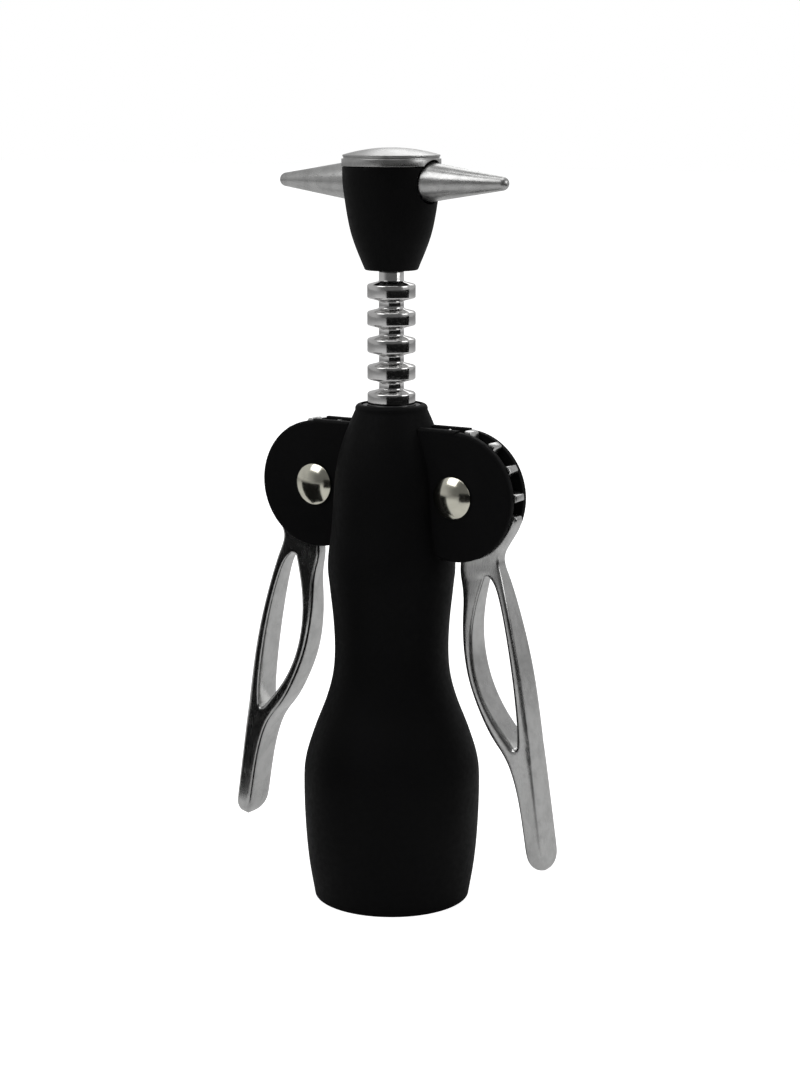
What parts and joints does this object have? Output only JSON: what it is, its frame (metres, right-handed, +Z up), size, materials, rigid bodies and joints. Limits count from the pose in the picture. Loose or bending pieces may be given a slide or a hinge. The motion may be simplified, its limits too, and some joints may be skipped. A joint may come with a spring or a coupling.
{
  "type": "lever corkscrew",
  "caption": "Wing corkscrew: black bell that seats on a bottle, worm on a T-handled knob, ringed rack and geared metal levers that draw the cork.",
  "frame": {"origin": "centre of the bell's bottom rim, on the surface the corkscrew stands on", "axes": "+Z up along the worm and rack, +X towards the right-hand lever, -Y towards the front, where the axle caps are"},
  "size_m": [0.0926, 0.0446, 0.1889],
  "materials": {
    "soft_black": "matte",
    "knob_black": "matte",
    "black_plastic": "satin",
    "satin_zinc": "satin",
    "bright_chrome": "polished",
    "worm_steel": "satin",
    "warm_nickel": "polished"
  },
  "bodies": {
    "frame": {"body": "soft_black", "bottle_collar": "black_plastic", "guide_bush": "black_plastic", "axle_pin_left": "warm_nickel", "axle_pin_right": "warm_nickel", "axle_cap_left": "warm_nickel", "axle_cap_right": "warm_nickel"},
    "left_lever": {"lever_left": "satin_zinc"},
    "right_lever": {"lever_right": "satin_zinc"},
    "rack": {"rack_sleeve": "bright_chrome"},
    "spindle": {"worm": "worm_steel", "upper_thrust_washer": "black_plastic", "lower_thrust_washer": "black_plastic", "retaining_collar": "worm_steel", "knob": "knob_black", "knob_cap": "satin_zinc", "crossbar": "worm_steel", "crossbar_nut": "worm_steel", "handle_cone_left": "satin_zinc", "handle_cone_right": "satin_zinc"}
  },
  "joints": [
    {"name": "left_lever_swing", "type": "hinge", "parent": "frame", "child": "left_lever", "pos_m": [-0.0202, 0, 0.1051], "axis": [0, 1, 0], "range_deg": [0, 123]},
    {"name": "right_lever_swing", "type": "hinge", "parent": "frame", "child": "right_lever", "pos_m": [0.0202, 0, 0.1051], "axis": [0, -1, 0], "range_deg": [0, 123]},
    {"name": "rack_slide", "type": "slide", "parent": "frame", "child": "rack", "axis": [0, 0, -1], "range_m": [0, 0.03182]},
    {"name": "knob_spin", "type": "hinge", "parent": "rack", "child": "spindle", "pos_m": [0, 0, 0.1], "axis": [0, 0, 1], "continuous": true}
  ],
  "couplings": [
    {"joint": "right_lever_swing", "follows": "left_lever_swing", "ratio": 1},
    {"joint": "rack_slide", "follows": "left_lever_swing", "m_per_rad": 0.014817}
  ]
}
